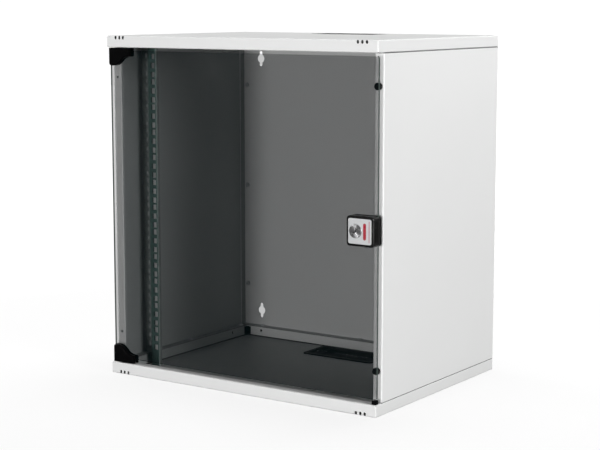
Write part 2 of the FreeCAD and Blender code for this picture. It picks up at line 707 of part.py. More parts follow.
def hinge_pads():
    """Soft pads on both faces of the glass inside the upper hinge."""
    pads = []
    inset = HINGE_PAD_INSET
    keep = block(GLASS_LEFT + inset, HINGE_LEFT + HINGE_LENGTH - inset, FRONT, BACK,
                 MIDDLE, GLASS_HIGH - inset)
    holes = hinge_screw_holes(HINGE_HOLE / 2.0, GLASS_Y - 2 * PAD, GLASS_Y + GLASS + 2 * PAD)
    for y in (GLASS_Y - PAD, GLASS_Y + GLASS):
        pad = hinge_outline(y).extrude(vec(0, PAD, 0)).common(keep)
        pads.append(pad.cut(Part.makeCompound([hinge_boss(-inset)] + holes)))
    return pads


def hinge_pin():
    start = vec(PIN_X, PIN_Y, hinge_top() - PIN_IN_HINGE)
    pin = rod(PIN / 2.0, PIN_IN_HINGE + PIN_OUT, start, UP)
    return pin.makeChamfer(PIN / 8.0, [edge for edge in pin.Edges if near(edge.BoundBox.ZLength, 0)])


def upper_bush():
    inner = PIN / 2.0 + PIN_FIT
    outer = inner + BUSH_WALL
    collar = outer + BUSH_WALL
    profile = [(inner, -BUSH_FLANGE), (collar, -BUSH_FLANGE), (collar, 0), (outer, 0),
               (outer, PIN_OUT - 1.0), (inner, PIN_OUT - 1.0)]
    return turned_part(profile, vec(PIN_X, PIN_Y, PANEL_HIGH), UP)


# --- Door glass -----------------------------------------------------------------------
def door_glass():
    pane = upright_plate(GLASS_LEFT, GLASS_RIGHT, GLASS_LOW, GLASS_HIGH, GLASS_CORNER,
                         GLASS_Y, GLASS_Y + GLASS)
    holes = hinge_screw_holes(HINGE_HOLE / 2.0, GLASS_Y - 1, GLASS_Y + GLASS + 1)
    upper = [hinge_boss(0.0)] + holes
    lock_hole = rod(GLASS_HOLE / 2.0, GLASS + 2, vec(BARREL_X, GLASS_Y - 1, MIDDLE), REAR)
    return pane.cut(Part.makeCompound(upper + [mirrored_z(cut) for cut in upper] + [lock_hole]))


# --- Lock -----------------------------------------------------------------------------
def lock_case():
    """Both shells of the lock as one block, closed round the edge of the glass."""
    low = MIDDLE - LOCK_HEIGHT / 2.0
    case = upright_plate(LOCK_LEFT, LOCK_RIGHT, low, low + LOCK_HEIGHT, LOCK_CORNER,
                         LOCK_FRONT, LOCK_BACK)
    return rounded(case, LOCK_EDGE, lambda middle, run: near(middle.y, LOCK_FRONT))


def lock_axis(radius, y0, y1):
    return rod(radius, y1 - y0, vec(BARREL_X, y0, MIDDLE), REAR)


def badge_outline(y0, y1, margin):
    left = LOCK_LEFT + BADGE_INSET - margin
    half = BADGE[1] / 2.0 + margin
    return upright_plate(left, left + BADGE[0] + 2 * margin, MIDDLE - half, MIDDLE + half,
                         LOCK_CORNER - BADGE_INSET / 2.0, y0, y1)


def lock_front_shell():
    split = hinge_split()
    low = MIDDLE - LOCK_HEIGHT
    high = MIDDLE + LOCK_HEIGHT
    room = block(LOCK_LEFT - 1, GLASS_RIGHT + PAD, GLASS_Y - PAD, split, low, high)
    behind = block(LOCK_LEFT - 1, LOCK_RIGHT + 1, split, LOCK_BACK + 1, low, high)
    recess = badge_outline(LOCK_FRONT - 1, LOCK_FRONT + BADGE_SHEET, 0.0)
    barrel = lock_axis(BARREL / 2.0, LOCK_FRONT - 1, LOCK_BACK + 1)
    cuts = [room, behind, recess, barrel]
    reach = LOCK_HEIGHT / 2.0 - 1.5 * LOCK_CORNER
    for step in range(GRIP_COUNT):
        y = LOCK_FRONT + LOCK_EDGE + GRIP[0] * (step + 0.5)
        cuts.append(block(LOCK_RIGHT - GRIP[2], LOCK_RIGHT + 1, y, y + GRIP[1],
                          MIDDLE - reach, MIDDLE + reach))
    return lock_case().cut(Part.makeCompound(cuts))


def lock_back_shell():
    behind = block(LOCK_LEFT - 1, LOCK_RIGHT + 1, hinge_split(), LOCK_BACK + 1,
                   MIDDLE - LOCK_HEIGHT, MIDDLE + LOCK_HEIGHT)
    return lock_case().common(behind).cut(lock_axis(BARREL / 2.0, LOCK_FRONT - 1, LOCK_BACK + 1))


def lock_badge():
    plate = badge_outline(LOCK_FRONT, LOCK_FRONT + BADGE_SHEET, -0.1)
    return plate.cut(lock_axis(BARREL / 2.0, LOCK_FRONT - 1, LOCK_BACK))


def lock_pads():
    pads = []
    inset = LOCK_CORNER / 2.0
    half = LOCK_HEIGHT / 2.0 - inset
    for y in (GLASS_Y - PAD, GLASS_Y + GLASS):
        pad = upright_plate(LOCK_LEFT + inset, GLASS_RIGHT - inset, MIDDLE - half, MIDDLE + half,
                            inset, y, y + PAD)
        pads.append(pad.cut(lock_axis(GLASS_HOLE / 2.0, y - 1, y + 2)))
    return pads


def lock_barrel():
    """Fixed barrel of the lock: bezel, threaded tube and the bore for the rotor."""
    bore = ROTOR / 2.0 + ROTOR_FIT
    seat = bore + ROTOR_HEAD[0]
    front = -BEZEL_PROUD
    end = CAM_Y - BARREL_END_GAP - LOCK_FRONT
    profile = [(seat, front), (BEZEL / 2.0 - BEZEL_PROUD / 2.0, front), (BEZEL / 2.0, 0),
               (BARREL / 2.0, 0), (BARREL / 2.0, end), (bore, end),
               (bore, front + ROTOR_HEAD[1] + ROTOR_FIT), (seat, front + ROTOR_HEAD[1] + ROTOR_FIT)]
    return turned_part(profile, vec(BARREL_X, LOCK_FRONT, MIDDLE), REAR)


def barrel_nut():
    start = vec(BARREL_X, LOCK_BACK, MIDDLE)
    nut = hexagon(BARREL_NUT[0], BARREL_NUT[1], start, REAR)
    return nut.cut(lock_axis(BARREL / 2.0, LOCK_BACK - 1, LOCK_BACK + BARREL_NUT[1] + 1))


def lock_rotor():
    """Turning part of the lock, with its key slot in front and its shaft behind."""
    front = -BEZEL_PROUD + ROTOR_FIT
    end = CAM_Y - LOCK_FRONT
    tip = end + CAM_SHEET + CAM_NUT[1] + 1.0
    radius = ROTOR / 2.0
    head = radius + ROTOR_HEAD[0]
    profile = [(0, front), (head, front), (head, front + ROTOR_HEAD[1]), (radius, front + ROTOR_HEAD[1]),
               (radius, end), (SHAFT / 2.0, end), (SHAFT / 2.0, tip), (0, tip)]
    rotor = turned_part(profile, vec(BARREL_X, LOCK_FRONT, MIDDLE), REAR)
    slot = block(-KEY_SLOT[0] / 2.0, KEY_SLOT[0] / 2.0, front - 1, KEY_SLOT[2],
                 -KEY_SLOT[1] / 2.0, KEY_SLOT[1] / 2.0)
    slot.rotate(vec(0, 0, 0), REAR, KEY_ANGLE)
    slot.translate(vec(BARREL_X, LOCK_FRONT, MIDDLE))
    return rotor.cut(slot)


def lock_cam():
    """Cam that hangs down when unlocked and turns behind the side panel's flange."""
    radius = CAM_WIDTH / 2.0
    tip = MIDDLE - CAM_REACH + radius
    end = CAM_Y + CAM_SHEET
    arm = block(BARREL_X - radius, BARREL_X + radius, CAM_Y, end, tip, MIDDLE)
    hub = rod(radius, CAM_SHEET, vec(BARREL_X, CAM_Y, MIDDLE), REAR)
    toe = rod(radius, CAM_SHEET, vec(BARREL_X, CAM_Y, tip), REAR)
    return fused([arm, hub, toe]).cut(lock_axis(SHAFT / 2.0, CAM_Y - 1, end + 1))


def cam_nut():
    start = CAM_Y + CAM_SHEET
    nut = hexagon(CAM_NUT[0], CAM_NUT[1], vec(BARREL_X, start, MIDDLE), REAR)
    return nut.cut(lock_axis(SHAFT / 2.0, start - 1, start + CAM_NUT[1] + 1))


# --- Bumpers and door rest ------------------------------------------------------------
def door_bumpers():
    """Rubber buffers pressed into the right flange, just behind the glass."""
    length = FLANGE_SETBACK - GLASS_SETBACK - GLASS - BUMPER_GAP
    radius = BUMPER / 2.0
    hole = BUMPER_HOLE / 2.0
    over, start, end = BUMPER_BARB
    profile = [(0, length), (radius * 3 / 4, length), (radius * 15 / 16, length - BUMPER_ROUND[0]),
               (radius, length - BUMPER_ROUND[1]), (radius, 0), (hole, 0), (hole, -SHEET),
               (hole + over, -SHEET - start), (hole - over / 3, -SHEET - end), (0, -SHEET - end)]
    places_x, places_z = bumper_places()
    return [turned_part(profile, vec(places_x[0], FLANGE_Y, z), -REAR) for z in places_z]


def rest_place():
    return SIDE - REST_SIDE - REST[0] / 2.0, FRONT + REST_FRONT + REST[1] / 2.0


def door_rest():
    x, y = rest_place()
    top = GLASS_LOW - REST_GAP
    pad = block(x - REST[0] / 2, x + REST[0] / 2, y - REST[1] / 2, y + REST[1] / 2, LIP, top)
    pad = rounded(pad, 1.0, lambda middle, run: near(middle.z, top) or along(run, UP))
    stud = rod(REST_STUD / 2.0, 3 * SHEET, vec(x, y, LIP - 3 * SHEET), UP)
    return fused([pad, stud])


def lower_cover():
    x, y = rest_place()
    return bottom_cover().cut(rod(REST_STUD / 2.0, 3 * SHEET, vec(x, y, LIP - 2 * SHEET), UP))


# --- The assembly ---------------------------------------------------------------------
def pair_of_hinges(nodes):
    for name, make in (("hinge_front_half", hinge_front), ("hinge_back_half", hinge_back),
                       ("hinge_pin", hinge_pin), ("hinge_bush", upper_bush)):
        shape = make()
        nodes["upper_" + name] = [shape]
        nodes["lower_" + name] = [mirrored_z(shape)]
    for name, make in (("hinge_pads", hinge_pads), ("hinge_screws", hinge_screws)):
        upper = make()
        nodes[name] = upper + [mirrored_z(shape) for shape in upper]


def all_nodes():
    panel = right_side_panel()
    rail = right_rack_rail()
    bolts, nuts = rail_fasteners()
    frame = entry_frame()
    bristles = entry_bristles()
    nodes = {
        "bottom_cover": [lower_cover()],
        "top_cover": [mirrored_z(bottom_cover())],
        "right_side_panel": [panel],
        "left_side_panel": [mirrored_x(panel)],
        "back_panel": [back_panel()],
        "right_rack_rail": [rail],
        "left_rack_rail": [mirrored_x(rail)],
        "rail_bolts": bolts,
        "rail_nuts": nuts,
        "side_panel_screws": panel_screws(),
        "back_panel_screws": back_panel_screws(),
        "lower_entry_frame": [frame],
        "upper_entry_frame": [mirrored_z(frame)],
        "lower_entry_bristles": bristles,
        "upper_entry_bristles": [mirrored_z(strip) for strip in bristles],
        "door_bumpers": door_bumpers(),
        "door_rest": [door_rest()],
        "door_glass": [door_glass()],
        "lock_front_shell": [lock_front_shell()],
        "lock_back_shell": [lock_back_shell()],
        "lock_badge": [lock_badge()],
        "lock_pads": lock_pads(),
        "lock_barrel": [lock_barrel()],
        "lock_barrel_nut": [barrel_nut()],
        "lock_rotor": [lock_rotor()],
        "lock_cam": [lock_cam()],
        "lock_cam_nut": [cam_nut()],
    }
    pair_of_hinges(nodes)
    return nodes


def main():
    os.makedirs("parts", exist_ok=True)
    for name, shapes in all_nodes().items():
        shape = shapes[0] if len(shapes) == 1 else Part.makeCompound(shapes)
        shape.exportStep("parts/" + name + ".step")


main()
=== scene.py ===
import bpy, bmesh
import json, math, random
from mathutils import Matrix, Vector


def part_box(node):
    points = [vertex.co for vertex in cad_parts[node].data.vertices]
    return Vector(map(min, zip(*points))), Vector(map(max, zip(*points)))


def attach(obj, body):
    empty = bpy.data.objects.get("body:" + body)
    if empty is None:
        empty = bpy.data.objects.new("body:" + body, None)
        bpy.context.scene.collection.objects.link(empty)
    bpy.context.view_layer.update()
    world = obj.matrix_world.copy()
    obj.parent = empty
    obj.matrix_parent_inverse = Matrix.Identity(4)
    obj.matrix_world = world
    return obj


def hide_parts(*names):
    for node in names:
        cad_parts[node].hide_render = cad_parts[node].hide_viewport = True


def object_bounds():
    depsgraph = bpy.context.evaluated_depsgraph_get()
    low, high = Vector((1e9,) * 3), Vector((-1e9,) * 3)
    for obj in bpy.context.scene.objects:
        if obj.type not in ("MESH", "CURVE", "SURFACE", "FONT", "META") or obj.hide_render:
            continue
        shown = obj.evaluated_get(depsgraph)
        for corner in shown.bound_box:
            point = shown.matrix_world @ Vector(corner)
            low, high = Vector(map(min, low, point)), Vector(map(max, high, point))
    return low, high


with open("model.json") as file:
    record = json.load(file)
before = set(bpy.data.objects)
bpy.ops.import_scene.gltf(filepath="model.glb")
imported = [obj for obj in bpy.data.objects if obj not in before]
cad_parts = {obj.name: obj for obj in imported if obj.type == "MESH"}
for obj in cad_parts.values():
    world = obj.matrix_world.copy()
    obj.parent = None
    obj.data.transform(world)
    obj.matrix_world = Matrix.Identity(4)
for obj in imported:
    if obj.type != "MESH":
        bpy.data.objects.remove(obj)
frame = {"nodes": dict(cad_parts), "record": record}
CAD_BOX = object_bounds()
NODES = frame["nodes"]

# Metres unless a line says otherwise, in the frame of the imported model: X right, Y to the
# wall, Z up.

# --- Camera ---------------------------------------------------------------------------
AZIMUTH = 34.3           # degrees; the camera looks towards -X and +Y
ELEVATION = 8.23         # degrees above the horizon
DISTANCE = 2.722
LENS = 92.9              # millimetres
SENSOR = 36.0            # millimetres
AIM_DROP = 0.0334        # the camera aims this far below the middle of the object
AIM_FRONT = 0.0057       # and this far in front of it

# --- Stage and light ------------------------------------------------------------------
FLOOR_SIZE = 14.0
FLOOR_GLOW = 1.20        # glow of the floor to the camera
FLOOR_SHARE = 0.68       # its share in what is seen near the object
FLOOR_FADE = (0.9, 2.4)  # distances between which that share grows to the whole
FLOOR_BOUNCE = 0.16      # how much light the floor throws back
AMBIENT = 0.08           # strength of the world as a light
BACKGROUND = 1.06        # what the camera sees of it
REFLECTED = 0.18         # what metal, glass and gloss reflect of it
LAMPS = (                # name, place from the middle of the object, diameter, watts
    ("key", (4.2, -0.98, 0.8), 2.2, 154.0),
    ("front", (0.05, -3.4, -0.1), 1.0, 103.0),
    ("top", (-0.2, 0.3, 3.2), 1.8, 60.0),
    ("left", (-3.2, 0.6, 0.7), 2.0, 71.0),
    ("back", (0.4, 3.4, 0.8), 2.0, 71.0),
)

# --- Finishes -------------------------------------------------------------------------
PAINT = (0.790, 0.793, 0.790)
INSIDE_PAINTED_SHADE = (0.545, 0.570, 0.572)  # painted shade: how light the paint is made inside the cabinet, by channel
HOLLOW_PAINTED_SHADE = 0.06       # painted shade: how light the paint is made in the hollow rims of the covers
SEAM_PAINTED_SHADE = 0.20         # painted shade: how light it is made at the seams between panels and covers
SKIN = 0.0006            # half of the sheet's thickness
FRONT_EDGE = 0.0187      # from the covers' front to just behind the front flanges
RIM_HOLLOW = 0.0161      # from a cover's side to the back of its rim's inner flange
RIM_FOOT = (0.0177, 0.0033)  # reach and height of the painted shadow in the gap under that flange
SEAM = 0.0012            # height of the painted shade line on a panel's edge where it meets a cover
WEB_HIGHLIGHT = (0.0134, 0.0036)  # middle and half width of the painted highlight band in a rail's web
RAIL_WING = 0.0280       # width of a rail's wing
GLASS_TINT = 0.28        # share of the light that each face of the glass takes away
EDGE_TINT = 0.93         # the same at its ground edges, except the one at the hinges

# --- Added pieces ---------------------------------------------------------------------
BUNDLE_PITCH = 0.0011    # between two bundles of bristles
BUNDLE_LAYERS = 3
BUNDLE_WIDTH = 0.92      # a bundle's share of the pitch
BUNDLE_HEIGHT = 0.9      # and its share of its layer's height
BUNDLE_TIP = 0.45        # size of a bundle's tip against its foot
BUNDLE_STAGGER = 0.3     # shift of every second layer, in pitches
BUNDLE_LEAN = 0.0010     # how far a tip strays along the slit
BUNDLE_REACH = (-0.0008, 0.0010)  # how far it strays over the slit or back from it
BUNDLE_LIFT = 0.3        # how far it strays up or down, in layers
BUNDLE_SEED = 7
HALF_SLIT = 0.0021       # from the middle of the slit to the tips, before they stray
STRIPES = (  # name, from the badge's free edge to its middle, width, share of the badge's height
    ("badge_bar", 0.0125, 0.0052, 0.66),
    ("badge_line", 0.0042, 0.0009, 0.84),
)
STRIPE_PROUD = 0.00015   # thickness of the enamel
STRIPE_ROUND = 0.45      # radius of a stripe's corners, in widths
CORNER_STEPS = 6         # edges in each of those corners


# --- Material tools -------------------------------------------------------------------
def shade(colour, factor):
    return tuple(min(1.0, channel * factor) for channel in colour)


class Surface:
    """A Principled material whose node tree is built up by small calls."""

    def __init__(self, name, colour, roughness, metallic=0.0):
        self.material = bpy.data.materials.new(name)
        self.material.use_nodes = True
        self.nodes = self.material.node_tree.nodes
        self.links = self.material.node_tree.links
        self.shader = self.nodes["Principled BSDF"]
        self.set("Base Color", (*colour, 1.0))
        self.set("Roughness", roughness)
        self.set("Metallic", metallic)
        self.coords = self.nodes.new("ShaderNodeTexCoord")

    def link(self, out, socket):
        self.links.new(out, socket)

    def set(self, name, value):
        self.shader.inputs[name].default_value = value

    # Patterns
    def place(self, stretch=(1.0, 1.0, 1.0), origin=(0.0, 0.0, 0.0)):
        """Object coordinates, moved so that origin is zero and then stretched."""
        mapping = self.nodes.new("ShaderNodeMapping")
        mapping.inputs["Scale"].default_value = stretch
        mapping.inputs["Location"].default_value = [-o * s for o, s in zip(origin, stretch)]
        self.link(self.coords.outputs["Object"], mapping.inputs["Vector"])
        return mapping.outputs["Vector"]

    def noise(self, scale, detail=2.0, stretch=(1.0, 1.0, 1.0)):
        node = self.nodes.new("ShaderNodeTexNoise")
        node.inputs["Scale"].default_value = scale
        node.inputs["Detail"].default_value = detail
        self.link(self.place(stretch), node.inputs["Vector"])
        return node.outputs["Fac"]

    def cells(self, scale):
        node = self.nodes.new("ShaderNodeTexVoronoi")
        node.inputs["Scale"].default_value = scale
        self.link(self.place(), node.inputs["Vector"])
        return node.outputs["Color"]

    def rings(self, scale, centre, distortion):
        node = self.nodes.new("ShaderNodeTexWave")
        node.wave_type = "RINGS"
        node.rings_direction = "Y"
        node.inputs["Scale"].default_value = scale
        node.inputs["Distortion"].default_value = distortion
        self.link(self.place(origin=centre), node.inputs["Vector"])
        return node.outputs["Fac"]

    # Values
    def math(self, operation, first, second=0.0, third=0.0):
        node = self.nodes.new("ShaderNodeMath")
        node.operation = operation
        for socket, value in zip(node.inputs, (first, second, third)):
            if isinstance(value, float):
                socket.default_value = value
            else:
                self.link(value, socket)
        return node.outputs["Value"]

    def spread(self, value, low, high, start=0.3, end=0.7):
        """Low where the value is at the start, high where it is at the end."""
        node = self.nodes.new("ShaderNodeMapRange")
        node.inputs["From Min"].default_value = start
        node.inputs["From Max"].default_value = end
        node.inputs["To Min"].default_value = low
        node.inputs["To Max"].default_value = high
        self.link(value, node.inputs["Value"])
        return node.outputs["Result"]

    def axis(self, kind, name):
        """One axis of the object's coordinates or of its normals."""
        split = self.nodes.new("ShaderNodeSeparateXYZ")
        self.link(self.coords.outputs[kind], split.inputs["Vector"])
        return split.outputs[name]

    def within(self, value, low, high):
        """One where the value lies between low and high, and zero elsewhere."""
        return self.math("COMPARE", value, (low + high) / 2.0, (high - low) / 2.0)

    def band(self, axis, middle, low, high):
        """One where an axis is low to high away from the middle, on either side of it."""
        offset = self.math("SUBTRACT", self.axis("Object", axis), middle)
        return self.within(self.math("ABSOLUTE", offset), low, high)

    def facing(self, axis):
        """One where the surface faces along an axis of the object, and zero elsewhere."""
        side = self.math("ABSOLUTE", self.axis("Normal", axis))
        return self.spread(side, 0.0, 1.0, start=0.4, end=0.6)

    # Colours
    def mix(self, value, first, second):
        """A colour between two others, each of them a socket or three numbers."""
        node = self.nodes.new("ShaderNodeMix")
        node.data_type = "RGBA"
        colours = [socket for socket in node.inputs if socket.type == "RGBA"]
        for socket, colour in zip(colours, (first, second)):
            if isinstance(colour, (tuple, list)):
                socket.default_value = (*colour, 1.0)
            else:
                self.link(colour, socket)
        self.link(value, node.inputs["Factor"])
        return [socket for socket in node.outputs if socket.type == "RGBA"][0]

    def colour(self, value, first, second):
        self.link(self.mix(value, first, second), self.shader.inputs["Base Color"])

    # Finish
    def roughness(self, value, low, high):
        self.link(self.spread(value, low, high), self.shader.inputs["Roughness"])

    def bump(self, value, strength, distance):
        """Adds a relief over those that are already there."""
        node = self.nodes.new("ShaderNodeBump")
        node.inputs["Strength"].default_value = strength
        node.inputs["Distance"].default_value = distance
        normal = self.shader.inputs["Normal"]
        if normal.is_linked:
            self.link(normal.links[0].from_socket, node.inputs["Normal"])
        self.link(value, node.inputs["Height"])
        self.link(node.outputs["Normal"], normal)


# --- Painted sheet --------------------------------------------------------------------
def inside_shade_mask(coat):
    """Mask for the painted shade inside the cabinet: one on its walls, floor and roof, and zero
    on the rest.
    """
    low, high = CAD_BOX
    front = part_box("bottom_cover")[0][1] + FRONT_EDGE
    inside = coat.math("MAXIMUM", coat.facing("X"), coat.facing("Z"))
    for axis, start, end in (("X", low[0] + SKIN, high[0] - SKIN),
                             ("Z", low[2] + SKIN, high[2] - SKIN),
                             ("Y", front, high[1] - SKIN)):
        part = coat.within(coat.axis("Object", axis), start, end)
        inside = coat.math("MULTIPLY", inside, part)
    return inside


def rim_painted_shade(coat):
    """Mask for the painted shade in the insides of the covers' box section rims, and the painted
    shadow at the open foot of their inner flanges.
    """
    low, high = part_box("bottom_cover")
    centre_y = (low[1] + high[1]) / 2.0
    half_y = high[1] - centre_y
    centre_z = (CAD_BOX[0][2] + CAD_BOX[1][2]) / 2.0
    hollows = []
    for reach, top in ((RIM_HOLLOW, high[2] - SKIN), RIM_FOOT):
        height = coat.band("Z", centre_z, centre_z - top, centre_z - low[2] - SKIN)
        sides = coat.band("X", 0.0, high[0] - reach, high[0] - SKIN)
        ends = coat.band("Y", centre_y, half_y - reach, half_y - SKIN)
        hollows.append(coat.math("MULTIPLY", height, coat.math("MAXIMUM", sides, ends)))
    across = coat.band("X", 0.0, 0.0, high[0] - SKIN)
    along = coat.band("Y", centre_y, 0.0, half_y - SKIN)
    shell = coat.math("MULTIPLY", across, along)
    return coat.math("MULTIPLY", coat.math("MAXIMUM", *hollows), shell)


def seam_painted_shade(coat):
    """Mask for the painted shade line on the rounded ends of the panels, where they meet the
    covers.
    """
    low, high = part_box("right_side_panel")
    half = (high[2] - low[2]) / 2.0
    return coat.band("Z", low[2] + half, half - SEAM, half + SKIN)


def powder_coat(name, colour, shade_mask, shade_share):
    """Textured coat: orange peel and a faint drift, with painted shade inside the cabinet and
    where the given mask is one.
    """
    coat = Surface(name, colour, 0.46)
    drift = coat.noise(scale=5.0, detail=3.0)
    # painted shade: the paint inside the cabinet is made darker and greyer
    inner = [channel * share for channel, share in zip(colour, INSIDE_PAINTED_SHADE)]
    outside = coat.mix(drift, shade(colour, 0.975), shade(colour, 1.015))
    inside = coat.mix(drift, shade(inner, 0.95), shade(inner, 1.03))
    # painted shade where the given mask is one: rim hollows for the covers, seams for the panels
    shaded_paint = coat.mix(drift, shade(colour, 0.9 * shade_share), shade(colour, shade_share))
    coat.colour(shade_mask(coat), coat.mix(inside_shade_mask(coat), outside, inside), shaded_paint)
    coat.roughness(coat.noise(scale=38.0), 0.40, 0.52)
    coat.bump(coat.noise(scale=420.0, detail=3.0), strength=0.10, distance=0.0003)
    coat.bump(coat.noise(scale=1700.0), strength=0.14, distance=0.0001)
    return coat.material


# --- Other materials ------------------------------------------------------------------
def tinted_glass(name):
    """Grey float glass: clear at its faces and hinge edge, dark and greenish at the others."""
    glass = Surface(name, (0.004, 0.012, 0.010), 0.03)
    glass.set("Specular IOR Level", 0.08)
    glass.set("IOR", 1.52)
    face = glass.facing("Y")
    hinge_edge = glass.spread(glass.axis("Normal", "X"), 1.0, 0.0, start=-0.6, end=-0.4)
    clear = glass.math("MAXIMUM", face, hinge_edge)
    opacity = glass.spread(clear, EDGE_TINT, GLASS_TINT, start=0.0, end=1.0)
    glass.link(opacity, glass.shader.inputs["Alpha"])
    glass.colour(face, (0.060, 0.078, 0.072), (0.001, 0.005, 0.006))
    glass.roughness(glass.noise(scale=9.0, detail=4.0), 0.015, 0.05)
    return glass.material


def moulded(name, colour, low, high, gloss=0.5):
    """Moulded plastic or rubber with a fine eroded grain."""
    plastic = Surface(name, colour, low)
    plastic.set("Specular IOR Level", gloss)
    plastic.colour(plastic.noise(scale=60.0), shade(colour, 0.8), shade(colour, 1.25))
    plastic.roughness(plastic.noise(scale=140.0), low, high)
    plastic.bump(plastic.noise(scale=900.0), strength=0.25, distance=0.00012)
    return plastic.material


def plated(name, colour, low, high):
    """Zinc plated steel: bright, slightly cloudy, with fine drawing marks."""
    metal = Surface(name, colour, low, metallic=0.95)
    metal.colour(metal.noise(scale=90.0, detail=3.0), shade(colour, 0.86), shade(colour, 1.06))
    metal.roughness(metal.noise(scale=260.0), low, high)
    metal.bump(metal.noise(scale=1500.0), strength=0.08, distance=0.00005)
    return metal.material


def galvanised(name, colour, highlight, plain):
    """Passivated rail steel with a faint spangle: a painted highlight band in the web, pale on
    lip and wing.
    """
    steel = Surface(name, colour, 0.42, metallic=0.2)
    low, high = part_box("right_rack_rail")
    across = steel.math("ABSOLUTE", steel.axis("Object", "X"))
    middle, half = WEB_HIGHLIGHT
    # painted highlight: a bright band on the side-facing faces of the web
    web = steel.math("COMPARE", steel.axis("Object", "Y"), low[1] + middle, half)
    web = steel.math("MULTIPLY", web, steel.facing("X"))
    lip = steel.spread(across, 1.0, 0.0, start=low[0] + SKIN, end=low[0] + 2.0 * SKIN)
    fold = high[0] - RAIL_WING
    wing = steel.spread(across, 0.0, 1.0, start=fold, end=fold + SKIN)
    edges = steel.math("MAXIMUM", steel.math("MULTIPLY", lip, steel.facing("X")), wing)
    spangle = steel.cells(75.0)
    front, pale, bright = [steel.mix(spangle, shade(tone, 0.88), shade(tone, 1.12))
                           for tone in (colour, plain, highlight)]
    steel.colour(web, steel.mix(edges, front, pale), bright)
    steel.roughness(steel.noise(scale=120.0, detail=3.0), 0.32, 0.52)
    steel.bump(steel.noise(scale=800.0), strength=0.08, distance=0.0001)
    return steel.material


def brushed(name, colour):
    """Satin metal with fine lines across it."""
    metal = Surface(name, colour, 0.34, metallic=0.75)
    lines = metal.noise(scale=60.0, detail=3.0, stretch=(0.6, 1.0, 60.0))
    metal.colour(lines, shade(colour, 0.90), shade(colour, 1.05))
    metal.roughness(lines, 0.28, 0.42)
    metal.bump(lines, strength=0.05, distance=0.00005)
    return metal.material


def turned_metal(name, colour, centre):
    """Die cast metal faced on a lathe: fine rings round the lock's axis, and their sheen."""
    metal = Surface(name, colour, 0.16, metallic=1.0)
    rings = metal.rings(420.0, centre, distortion=0.6)
    metal.colour(rings, shade(colour, 0.62), shade(colour, 1.30))
    metal.roughness(metal.noise(scale=200.0), 0.16, 0.30)
    tangent = metal.nodes.new("ShaderNodeTangent")
    tangent.direction_type = "RADIAL"
    tangent.axis = "Y"
    metal.link(tangent.outputs["Tangent"], metal.shader.inputs["Tangent"])
    metal.set("Anisotropic", 0.75)
    metal.bump(rings, strength=0.10, distance=0.00006)
    return metal.material


def make_materials():
    """The material of each slot in the record, and that of a node with its own finish."""
    low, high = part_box("lock_barrel")
    lock_centre = (Vector(low) + Vector(high)) / 2.0
    return {
        # both paints get painted shade inside the cabinet; the covers also in their rim hollows,
        # the panels at their seams
        "cover_paint": powder_coat("cover_paint", PAINT, rim_painted_shade, HOLLOW_PAINTED_SHADE),
        "panel_paint": powder_coat("panel_paint", shade(PAINT, 1.01), seam_painted_shade, SEAM_PAINTED_SHADE),
        "door_glass": tinted_glass("tinted_glass"),
        "black_plastic": moulded("black_plastic", (0.0012, 0.0012, 0.0014), 0.36, 0.48, 0.06),
        "lock_front_shell": moulded("gloss_plastic", (0.005, 0.005, 0.005), 0.20, 0.28, 0.30),
        "black_rubber": moulded("black_rubber", (0.005, 0.005, 0.005), 0.6, 0.8, 0.14),
        "zinc_steel": plated("zinc_steel", (0.66, 0.67, 0.69), 0.26, 0.4),
        # the colour given for the web's painted highlight band
        "rail_steel": galvanised("rail_steel", (0.080, 0.140, 0.127),
                                 highlight=(0.92, 0.95, 0.94), plain=(0.25, 0.28, 0.27)),
        "nylon": moulded("nylon", (0.78, 0.76, 0.70), 0.4, 0.55),
        "bristle": moulded("bristle", (0.0025, 0.0025, 0.003), 0.5, 0.7, 0.06),
        "badge_metal": brushed("badge_metal", (0.70, 0.71, 0.72)),
        "lock_metal": turned_metal("lock_metal", (0.60, 0.60, 0.61), lock_centre),
        "red_enamel": moulded("red_enamel", (0.36, 0.014, 0.03), 0.25, 0.35),
    }


def dress_nodes(materials):
    """Gives each CAD node its own material, or else that of its slot in the record."""
    for entry in frame["record"]["subparts"]:
        material = materials.get(entry["node"], materials[entry["material_slot"]])
        for place in NODES[entry["node"]].material_slots:
            place.material = material


# --- Pieces that the scene adds -------------------------------------------------------
def new_piece(name, shape, material, body):
    """Turns the built shape into a piece that moves with the body."""
    bmesh.ops.recalc_face_normals(shape, faces=shape.faces)
    mesh = bpy.data.meshes.new(name)
    shape.to_mesh(mesh)
    shape.free()
    piece = bpy.data.objects.new(name, mesh)
    bpy.context.scene.collection.objects.link(piece)
    mesh.materials.append(material)
    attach(piece, body)
    return piece


def closed_prism(shape, first, last):
    """Two outlines of vertices as caps, with a side between each pair of edges."""
    shape.faces.new(first[::-1])
    shape.faces.new(last)
    for i in range(len(first)):
        j = (i + 1) % len(first)
        shape.faces.new((first[i], first[j], last[j], last[i]))


def add_bundle(shape, foot, tip, width, thickness):
    """One flat bundle of bristles, tapered from foot to tip along Y."""
    rows = []
    for end, share in ((foot, 1.0), (tip, BUNDLE_TIP)):
        half = width * share / 2.0
        rise = thickness * share / 2.0
        corners = [(-half, -rise), (half, -rise), (half, rise), (-half, rise)]
        rows.append([shape.verts.new((end.x + x, end.y, end.z + z)) for x, z in corners])
    closed_prism(shape, *rows)


